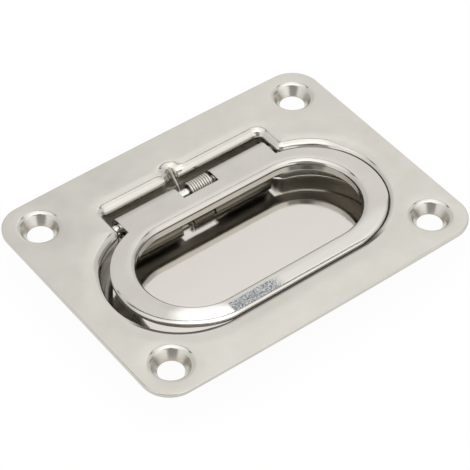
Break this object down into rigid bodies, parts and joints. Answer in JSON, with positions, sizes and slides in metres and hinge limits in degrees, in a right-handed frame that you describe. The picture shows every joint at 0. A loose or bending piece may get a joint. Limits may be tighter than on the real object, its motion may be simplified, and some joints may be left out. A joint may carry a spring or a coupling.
{
  "type": "flush pull latch",
  "caption": "Rectangular recessed plate with round corners and a spring-closed pull ring that lies flush in a drawn pan and swings up on a hinge pin.",
  "frame": {"origin": "under the middle of the plate, on the underside of the pan, which rests on z = 0", "axes": "+X along the hinge and the plate's long side, +Y from the finger side to the hinge side, +Z out of the plate's face"},
  "size_m": [0.0762, 0.0572, 0.0087],
  "materials": {
    "plate_steel": "soft polished stainless steel sheet, bright in the pan and along its bends",
    "ring_steel": "polished stainless steel sheet",
    "pin_steel": "bright drawn steel rod",
    "spring_steel": "bright drawn spring wire"
  },
  "bodies": {
    "plate": {"recessed_plate": "plate_steel", "hinge_pin": "pin_steel", "torsion_spring": "spring_steel"},
    "ring": {"pull_ring": "ring_steel"}
  },
  "joints": [
    {"name": "ring_hinge", "type": "hinge", "parent": "plate", "child": "ring", "pos_m": [0, 0.0142, 0.0054], "axis": [-1, 0, 0], "range_deg": [0, 105], "stiffness_Nm_per_rad": 0.008, "springref_deg": -34.38, "deforming": ["torsion_spring"]}
  ]
}
